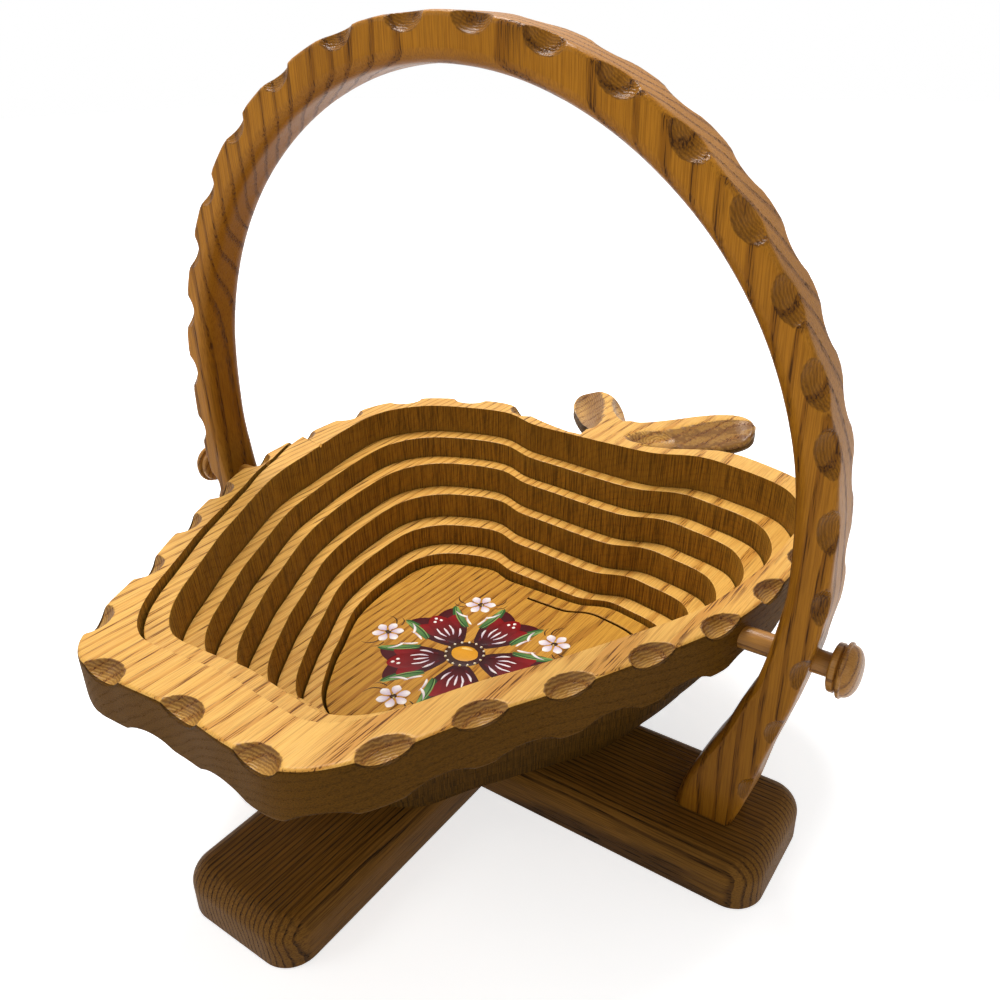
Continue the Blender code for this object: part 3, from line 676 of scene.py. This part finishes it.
levels = [floorRim(thick * share, 0) for share in (1, 0.75, 0.5, 0.25)]
levels += [floorRim(soft, 0), floorRim(softCorner, softCorner), floorRim(0, soft)]
points = np.stack(levels)
look = np.where(np.arange(len(points) - 1) < len(points) - 3, 1, 0)[:, None]
basketFloor = loft("basketFloor", points, ("floorTop", "sawnOuterPaintedShade"), look, (1, 0), 20, run=runAlong(points[0]),
                   drop=totalDrop)
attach(basketFloor, "floor")
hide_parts("basket_floor")
print("floor")

# Handle: the arch from leg to leg, gouged along both outer corners.
archShares = [
    (0.702, 0.0, 0.855, 0.0), (0.723, 0.045, 0.882, 0.049), (0.767, 0.105, 0.903, 0.106),
    (0.806, 0.152, 0.929, 0.164), (0.841, 0.206, 0.958, 0.225), (0.869, 0.244, 0.972, 0.265),
    (0.896, 0.321, 0.994, 0.34), (0.909, 0.404, 0.999, 0.402), (0.888, 0.539, 0.978, 0.544),
    (0.813, 0.66, 0.901, 0.673), (0.694, 0.761, 0.776, 0.788), (0.543, 0.84, 0.615, 0.88),
    (0.373, 0.897, 0.424, 0.946), (0.19, 0.932, 0.217, 0.987), (0.0, 0.944, 0.0, 1.0),
]
handleValues = {
    "width": 0.289, "height": 0.28, "base": 0.0193, "steps": 1000, "outerRound": 0.0018, "innerRound": 0.0046,
    "carvedRows": 18, "plainRows": 4, "carvedWidth": 0.0095, "carvedShare": 0.8, "sideRows": 18, "innerRows": 7,
    "arcRows": 4, "shadedWidth": 0.006, "gougeRadii": (0.0102, 0.0092, 0.0086), "gougeOut": 0.0016, "gougeUp": 0.0034,
    "gougeRuns": (200, 250, 330), "gougeScales": (0.88, 0.74, 0.64),
    "frontGouges": [-324, -295.4, -269.4, -243.4, -218.4, -194.4, -174.4, -150.4, -126.4, -99.4, -72.4, -46.4, -20.4,
                    5.6, 35.6, 68.6, 99.6, 131.6, 161.6, 190, 218, 246, 274, 302, 328],
}
halfWidth, base = handleValues["width"] / 2, handleValues["base"]
rise = handleValues["height"] - base
rightArch = np.array(archShares)
arch = smoothCurve(np.vstack([rightArch, rightArch[-2::-1] * (-1, 1, -1, 1)]), 40)
arch = arch * (halfWidth, rise, halfWidth, rise) + (0, base, 0, base)
archRun = runAlong(arch[:, 2:])
places = np.linspace(0, archRun[-1], handleValues["steps"])
innerX, innerZ, outerX, outerZ = (np.interp(places, archRun, column) for column in arch.T)
innerEdge = np.stack([innerX, 0 * innerX, innerZ], 1)
outerEdge = np.stack([outerX, 0 * outerX, outerZ], 1)
acrossArch = unit(outerEdge - innerEdge)
deep = np.array([0, 1.0, 0])
halfThick = thick / 2


def archPoint(edge, inset, depth):
    base, sign = (outerEdge, -1) if edge == "outer" else (innerEdge, 1)
    return base + acrossArch * sign * inset + deep * depth


def corner(edge, side, fromSide):
    made, roundness = [], handleValues[f"{edge}Round"]
    for angle in np.linspace(0, 90, handleValues["arcRows"] + 1):
        swing = np.radians(angle if fromSide else 90 - angle)
        depth = side * (halfThick - roundness * (1 - np.sin(swing)))
        made.append(archPoint(edge, roundness * (1 - np.cos(swing)), depth))
    return made


def fill(first, last, count):
    return spread(first, last, count)[1:-1]


def face(inner, outer):
    # Rows of a face from its inner to its outer edge, closer together where the gouges bite.
    carvedPart = handleValues["carvedWidth"] / np.linalg.norm(outer - inner, axis=1)
    mark = outer + (inner - outer) * np.minimum(carvedPart, handleValues["carvedShare"])[:, None]
    return [*fill(inner, mark, handleValues["plainRows"] + 2), mark, *fill(mark, outer, handleValues["carvedRows"])]


frontIn, frontOut = corner("inner", -1, True), corner("outer", -1, False)
backOut, backIn = corner("outer", 1, True), corner("inner", 1, False)
section = [*frontIn, *face(frontIn[-1], frontOut[0]), *frontOut,
           *fill(frontOut[-1], backOut[0], handleValues["sideRows"]), *backOut,
           *face(backIn[0], backOut[-1])[::-1], *backIn]
section += fill(backIn[-1], frontIn[0], handleValues["innerRows"])
handlePoints = np.stack(section, 1)
handleCarved = np.zeros(handlePoints.shape[:2])


def handleGouge(place, side):
    scale = np.interp(abs(place - halfRun) * 1000, handleValues["gougeRuns"], handleValues["gougeScales"])
    radii = np.array(handleValues["gougeRadii"]) * scale
    at, ahead = (np.array([np.interp(place + step, places, x) for x in outerEdge.T]) for step in (0, 0.001))
    ahead = unit(ahead - at)
    outwards = np.array([ahead[2], 0, -ahead[0]])
    centre = at + outwards * handleValues["gougeOut"] + deep * side * (halfThick + handleValues["gougeUp"] * scale)
    scoop(handlePoints, centre, [ahead, outwards, deep], radii, handleCarved)


# Front gouges by their run in millimetres from the crown, below zero towards the right leg, where the curve starts.
# The rear ones sit between.
halfRun = archRun[-1] / 2
frontPlaces = halfRun + np.array(handleValues["frontGouges"]) / 1000
for place in frontPlaces:
    handleGouge(place, -1)
for place in (frontPlaces[1:] + frontPlaces[:-1]) / 2:
    handleGouge(place, 1)
# The inner value is one at the arch's inner edge and falls to nought across the shaded width: it places the handle's
# painted shade.
fromInner = ((handlePoints - innerEdge[:, None]) * acrossArch[:, None]).sum(-1)
handleGouged = soften(handlePoints, handleCarved, 3)
handle = loft("archHandle", handlePoints, ["handle"], sharpAt=24, carved=handleCarved, gouged=handleGouged,
              inner=1 - np.clip(fromInner / handleValues["shadedWidth"], 0, 1))
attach(handle, "frame")
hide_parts("arch_handle")
print("handle", handleCarved.size)

# Feet: two boards with rounded corners and round shoulders, halved into each other.
footValues = {
    "long": 0.28, "cross": 0.262, "width": 0.054, "corner": 0.0115, "topRound": 0.0075, "baseRound": 0.0015,
    "gap": 0.0003,
}


def roundedRectangle(length, width, corner, samples=14):
    swing = np.linspace(0, np.pi / 2, samples)
    made = []
    for quarter, (sideX, sideY) in enumerate([(1, 1), (-1, 1), (-1, -1), (1, -1)]):
        turned = swing + quarter * np.pi / 2
        made.append(np.stack([sideX * (length / 2 - corner) + corner * np.cos(turned),
                              sideY * (width / 2 - corner) + corner * np.sin(turned)], 1))
    return np.vstack(made)


def insetOutline(points, inset):
    ahead = unit(np.roll(points, -1, 0) - points)
    inwards = np.stack([-ahead[:, 1], ahead[:, 0]], 1)
    before = np.roll(inwards, 1, 0)
    return points + inset * (inwards + before) / (1 + (inwards * before).sum(1))[:, None]


def plate(points, levels):
    # The outline at each level, a height and an inset.
    return np.stack([np.insert(insetOutline(points, inset), 2, height, axis=1) for height, inset in levels])


def cutAway(piece, low, high):
    # The halving is cut for good, and the cutter removed.
    x, y, z = zip(low, high)
    corners = np.array([(a, b, c) for c in z for a, b in ((x[0], y[0]), (x[1], y[0]), (x[1], y[1]), (x[0], y[1]))])
    tool = addMesh("cutter", corners, loftFaces(2, 4), [], sharpAt=0)
    change = piece.modifiers.new("halving", "BOOLEAN")
    change.operation, change.solver, change.object = "DIFFERENCE", "EXACT", tool
    bpy.context.view_layer.update()
    cut = bpy.data.meshes.new_from_object(piece.evaluated_get(bpy.context.evaluated_depsgraph_get()))
    piece.modifiers.clear()
    piece.data = cut
    cut.set_sharp_from_angle(angle=np.radians(38))
    bpy.data.objects.remove(tool)


top, base = footValues["topRound"], footValues["baseRound"]
footLevels = [(base - base * np.cos(a), base - base * np.sin(a)) for a in np.radians(np.linspace(0, 90, 5))]
footLevels += [(footTop - top + top * np.sin(a), top - top * np.cos(a)) for a in np.radians(np.linspace(0, 90, 13))]
notch, reachOver = footValues["width"] / 2 + footValues["gap"], footValues["width"]
for name, node, size in (("longFoot", "long_foot", (footValues["long"], footValues["width"])),
                         ("crossFoot", "cross_foot", (footValues["width"], footValues["cross"]))):
    foot = loft(name, plate(roundedRectangle(*size, footValues["corner"]), footLevels), [name])
    if name == "longFoot":
        cutAway(foot, (-notch, -reachOver, footTop / 2), (notch, reachOver, footTop * 2))
    else:
        cutAway(foot, (-reachOver, -notch, -footTop), (reachOver, notch, footTop / 2 + footValues["gap"]))
    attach(foot, "frame")
    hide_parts(node)
print("feet")

# Pegs: turned on a lathe. Places from the collar's start and radii over the shaft's, the collar's or the head's: a
# straight band with a dark bevel, a groove, a thin rim and then the dome.
pegValues = {
    "shaft": 0.004, "collar": 0.0081, "head": 0.0092, "clearance": 0.006, "collarThick": 0.0034, "band": 0.0018,
    "dome": 0.0042, "domeInset": 0.0007, "domePower": 0.75, "socket": 0.0062, "endPlaces": (0.0003, 0.0009),
    "endBevel": 0.0006, "sides": 64,
}
pegTurning = [
    (0.0, "shaft", 0), (0.0002, "shaft", 0.0024), (0.0004, "collar", -0.001), (0.0008, "collar", -0.0002),
    (0.0012, "collar", 0), (0.0026, "collar", 0), (0.0029, "collar", -0.0003), (0.0031, "collar", -0.0009),
    (0.0034, "collar", -0.0008), (0.0035, "collar", 0), (0.0037, "head", -0.0005), (0.004, "head", -0.0001),
    (0.0043, "head", 0), (0.0048, "head", 0), (0.005, "head", -0.0002), (0.0052, "head", -0.0006),
]
lowArch = arch[:200]
collarStart = np.interp(board["pegHeight"], lowArch[:, 3], lowArch[:, 2]) + pegValues["clearance"]
crown = collarStart + pegValues["collarThick"] + pegValues["band"]
shaft, domed = pegValues["shaft"], pegValues["head"] - pegValues["domeInset"]
firstPlace, shaftPlace = pegValues["endPlaces"]
pegAngles = np.arange(pegValues["sides"]) * fullTurn / pegValues["sides"]
for name, node, side in (("leftPeg", "left_peg", -1), ("rightPeg", "right_peg", 1)):
    end = outlineRadius(np.pi if side < 0 else 0) - pegValues["socket"]
    profile = [(end + firstPlace, shaft - pegValues["endBevel"]), (end + shaftPlace, shaft)]
    profile += [(collarStart + place, pegValues[key] + more) for place, key, more in pegTurning]
    profile += [(crown + pegValues["dome"] * np.sin(a), domed * np.cos(a) ** pegValues["domePower"])
                for a in np.radians(np.linspace(6, 88, 16))]
    points = np.array([[(side * place, radius * np.cos(a), board["pegHeight"] + side * radius * np.sin(a))
                        for a in pegAngles] for place, radius in profile])
    peg = loft(name, points, ["peg"])
    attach(peg, node)
    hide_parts(node)
print("pegs")

# Painted flowers on the basket's floor. Every stroke is a low domed shape along a bent spine: its width is a sine of
# the way along it, its height a half circle across it. The design is a plain one: tulips, leaves and blossoms.
paintValues = {
    "centre": (-0.001, 0.001), "dome": 0.00014, "sunk": 0.00005, "layer": 0.00009, "rows": 20, "columns": 9,
    "scale": 1.26, "endTrim": 0.06, "fade": 1.2, "crestLight": 0.16, "blossomAt": 31,
    "tulips": (8, 80, 152, 224, 296), "blossoms": (44, 116, 188, 260, 332),
}
tints = {name: np.array(rgb(code)) for name, code in {
    "wine": "480A10", "red": "841012", "darkWine": "300609", "white": "F2EBE2", "lilac": "B9A0B4", "ochre": "C98A1E",
    "brown": "3C2413", "yellow": "E9CE7A", "green": "2F5A2B", "leafLight": "7C9A55", "darkGreen": "1D3A1E"}.items()}


def stroke(start, end, bend, width, fat, pointed, colours, layer):
    # Width: sine of pi times the way along to the power fat, all to the power pointed.
    start, end = np.array(start, float), np.array(end, float)
    trim = paintValues["endTrim"]
    t = (1 - np.cos(np.linspace(trim, np.pi - trim, paintValues["rows"]))) / 2
    straight = end - start
    aside = np.array([-straight[1], straight[0]]) / np.linalg.norm(straight)
    spine = start + straight * t[:, None] + aside * (4 * bend * t * (1 - t))[:, None]
    ahead = unit(np.gradient(spine, axis=0))
    leftward = np.stack([-ahead[:, 1], ahead[:, 0]], 1)
    swell = np.sin(np.pi * t**fat) ** pointed
    c = np.concatenate([np.linspace(-1, 1, paintValues["columns"]), [0.5, 0, -0.5]])
    plan = spine[:, None] + leftward[:, None] * (swell * width / 2)[:, None, None] * c[None, :, None]
    isTop = np.arange(len(c)) < paintValues["columns"]
    dome = paintValues["dome"] + paintValues["layer"] * layer
    rise = np.sqrt(np.maximum(1 - c**2, 0))[None] * np.sqrt(swell)[:, None] * dome
    height = np.where(isTop[None], rise, 0) - paintValues["sunk"]
    first, last = (tints[name] for name in colours.split())
    colour = first + (last - first) * (t[:, None, None] ** paintValues["fade"]) + 0 * plan[:, :, :1]
    colour = colour * (1 + paintValues["crestLight"] * (1 - np.abs(c))[None, :, None])
    return np.dstack([plan, height]), np.dstack([colour, np.ones(colour.shape[:2])])


def dab(x, y, size, colours, layer):
    # A round dot as a stroke row.
    return (x, y, x + size, y, 0, size, 1, 0.5, colours, layer)


def painting():
    strokes = {"paintedTulips": [], "paintedLeaves": [], "paintedBlossoms": [], "paintedCentre": []}

    def put(group, turned, radius, *strokeRows, sides=(1,), fan=0):
        # Stroke rows are in millimetres, outwards and leftwards from a place at radius and angle round the centre.
        for side in sides:
            a = np.radians(turned + fan * side)
            outwards, leftwards = np.array([np.cos(a), np.sin(a)]), np.array([-np.sin(a), np.cos(a)]) * side
            for x0, y0, x1, y1, bend, *others in strokeRows:
                ends = [(radius + x) * outwards + y * leftwards for x, y in ((x0, y0), (x1, y1))]
                strokes[group].append(stroke(*ends, bend * side, *others))

    both = (1, -1)
    for angle in paintValues["tulips"]:
        put("paintedTulips", angle, 0, (6, 1.4, 27.5, 9.6, -3.2, 14.0, 1.0, 0.5, "darkWine wine", 0),
            (8, 2.4, 24, 8.2, -2.6, 7.6, 1.1, 0.65, "wine red", 1),
            (20, 10.6, 26.2, 8.6, -0.8, 1.1, 0.6, 0.8, "white lilac", 2),
            (15, 9.6, 21.5, 11.0, -0.6, 1.0, 0.6, 0.8, "white lilac", 2),
            (11, 0.4, 17, 2.6, 0.5, 1.0, 1.4, 0.8, "lilac white", 3),
            (10, 2.0, 15, 5.0, 0.5, 1.0, 1.4, 0.8, "lilac white", 3), sides=both)
        put("paintedTulips", angle, 0, (7.5, 0, 26.5, 0, 0, 11.5, 1.15, 0.55, "darkWine red", 2),
            (10, 0, 18.5, 0, 0, 1.2, 1.5, 0.8, "lilac white", 3))
        put("paintedTulips", angle, 0, (12, 1.8, 19, 2.3, 0.3, 0.9, 1.5, 0.8, "lilac white", 3), sides=both)
        put("paintedTulips", angle, 0, dab(21.8, -1.2, 1.4, "white white", 4), dab(21.8, 1.2, 1.4, "white white", 4),
            dab(23.6, 0, 1.4, "white white", 4))
    far = paintValues["blossomAt"]
    for angle in paintValues["blossoms"]:
        put("paintedLeaves", angle, 0, (15, 0, 31, 4.4, 1.8, 5.0, 0.8, 0.8, "darkGreen green", 0),
            (16, -0.8, 30.5, 3.8, 0.8, 2.6, 0.8, 0.8, "green leafLight", 0),
            (16, 0.2, 30, 4.2, 1.4, 0.6, 0.8, 0.6, "leafLight leafLight", 1), sides=both, fan=9)
        put("paintedBlossoms", angle, far, (0, 5.4, 6, 8.6, 1.6, 0.6, 0.5, 0.7, "brown brown", 0),
            (-2, 5.6, 0.8, 10.0, 1.0, 0.55, 0.5, 0.7, "brown brown", 0), sides=both)
        for petal in range(6):
            a = np.radians(petal * 60 + 30)
            x, y = np.cos(a), np.sin(a)
            put("paintedBlossoms", angle, far,
                (0.9 * x, 0.9 * y, 5.6 * x, 5.6 * y, 0.3, 3.4, 1.5, 0.7, "lilac white", 1 + petal % 2))
        put("paintedBlossoms", angle, far, dab(-1.2, 0, 2.4, "brown brown", 3),
            dab(0.2, 0.9, 0.7, "yellow yellow", 4), dab(-0.8, -0.7, 0.7, "yellow yellow", 4))
    put("paintedCentre", 0, 0, dab(-7.4, 0, 14.8, "brown darkWine", 3), dab(-5.3, 0, 10.6, "ochre ochre", 5),
        (-3.4, 1.4, 2.2, 2.6, 0.6, 2.0, 1, 0.7, "yellow ochre", 6))
    for dot in range(16):
        put("paintedCentre", dot * 22.5, 6.6, dab(-0.5, 0, 1.0, "white yellow", 6))
    return strokes


paint = Nodes(bpy.data.materials.new("flowerPaint"))
place = paint.place()
brushed = paint.noise(place, 1400, 3, 0.6)
cloudy = paint.noise(place, 260, 2, shift=2.0)
worn = paint.blend(cloudy, (0.55, 0.5, 0.46), (1.0, 1.0, 1.0))
tinted = paint.blend(paint.mapped(brushed, 0.35, 0.8, 0.0, 0.35), paint.attribute("tint", "Color"), worn, "MULTIPLY")
paint.fill(paint.shader, {
    "Base Color": tinted, "Roughness": paint.mapped(cloudy, 0.3, 0.7, 0.28, 0.42), "Coat Weight": 0.02,
    "Normal": paint.bump(brushed, 0.00008, 0.5), "Coat Roughness": 0.15, "Specular IOR Level": 0.09})
for name, made in painting().items():
    points = np.concatenate([shape.reshape(-1, 3) for shape, _ in made])
    points[:, :2] = points[:, :2] * paintValues["scale"] / 1000 + paintValues["centre"]
    points[:, 2] += floorTop
    colours = np.concatenate([colour.reshape(-1, 4) for _, colour in made])
    rows, columns = made[0][0].shape[:2]
    oneStroke = loftFaces(rows, columns)
    faces = [[corner + k * rows * columns for corner in face] for k in range(len(made)) for face in oneStroke]
    piece = addMesh(name, points, faces, [paint.owner], values={"tint": colours})
    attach(piece, "floor")
    print(name, len(made))

# Screws keep the solids' shape and get a plain steel look.
steel = Nodes(bpy.data.materials.new("screwSteel"))
grain = steel.noise(steel.place(), 900, 3)
steel.fill(steel.shader, {
    "Base Color": steel.blend(grain, (0.5, 0.5, 0.48), (0.66, 0.66, 0.64)), "Metallic": 1.0,
    "Roughness": steel.mapped(grain, 0.2, 0.8, 0.28, 0.45), "Normal": steel.bump(grain, 0.0001, 0.3)})
for node in ("left_leg_screw", "right_leg_screw", "left_crossing_screw", "right_crossing_screw"):
    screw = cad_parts[node]
    screw.data.materials.clear()
    screw.data.materials.append(steel.owner)

# Stage, lights and camera
stageValues = {"half": 6, "colour": (0.86, 0.86, 0.86, 1), "roughness": 0.9, "glow": (0.3, 1.1, 0.66, 0.78),
               "skyLight": 0.34}
white = (1, 1, 1, 1)


def seenDirectly(nodes):
    # One for rays from the camera, off a mirror or through glass.
    rays = nodes.add("ShaderNodeLightPath").outputs
    seen = nodes.maths("MAXIMUM", rays["Is Camera Ray"], rays["Is Glossy Ray"])
    return nodes.maths("MAXIMUM", seen, rays["Is Transmission Ray"])


half = stageValues["half"]
stageFloor = addMesh("stageFloor", [(-half, -half, 0), (half, -half, 0), (half, half, 0), (-half, half, 0)],
                     [[0, 1, 2, 3]], [], sharpAt=0)
ground = Nodes(bpy.data.materials.new("stageGround"))
away = ground.add("ShaderNodeVectorMath", operation="LENGTH")
ground.feed(away, ground.place())
glow = ground.mapped(away.outputs["Value"], *stageValues["glow"])
ground.fill(ground.shader, {
    "Base Color": stageValues["colour"], "Roughness": stageValues["roughness"], "Emission Color": white,
    "Emission Strength": ground.times(seenDirectly(ground), glow)})
stageFloor.data.materials.append(ground.owner)
world = Nodes(bpy.data.worlds.new("studio"), "Background")
sky = world.mapped(seenDirectly(world), 0.0, 1.0, stageValues["skyLight"], 1.0, "LINEAR")
world.fill(world.shader, {"Color": white, "Strength": sky})
bpy.context.scene.world = world.owner

# Place, power and size
lamps = {"keyLamp": ((-0.45, 0.4, 1.35), 21, 0.7), "fillLamp": ((0.95, -1.0, 0.7), 3, 1.1),
         "leftLamp": ((-0.85, -1.05, 1.05), 4, 0.8)}
for name, (place, power, size) in lamps.items():
    light = bpy.data.lights.new(name, "AREA")
    light.shape, light.size, light.energy = "DISK", size, power
    lamp = bpy.data.objects.new(name, light)
    lamp.location = place
    lamp.rotation_euler = (Vector((0, 0, 0.1)) - Vector(place)).to_track_quat("-Z", "Y").to_euler()
    bpy.context.scene.collection.objects.link(lamp)

cameraValues = {
    "place": (0.1965, -0.2464, 0.2652), "azimuth": 35.606, "pitch": 25.982, "roll": 1.288, "lens": 32.33,
    "sensor": 36, "clip": (0.01, 50),
}
azimuth, pitch, roll = (np.radians(cameraValues[key]) for key in ("azimuth", "pitch", "roll"))
turn = Matrix.Rotation(azimuth, 4, "Z") @ Matrix.Rotation(np.pi / 2 - pitch, 4, "X") @ Matrix.Rotation(-roll, 4, "Z")
camera = bpy.data.objects.new("camera", bpy.data.cameras.new("camera"))
camera.data.lens, camera.data.sensor_width = cameraValues["lens"], cameraValues["sensor"]
camera.data.sensor_fit = "HORIZONTAL"
camera.data.clip_start, camera.data.clip_end = cameraValues["clip"]
camera.matrix_world = Matrix.Translation(cameraValues["place"]) @ turn
bpy.context.scene.collection.objects.link(camera)
bpy.context.scene.camera = camera
bpy.context.scene.view_settings.view_transform = "Standard"
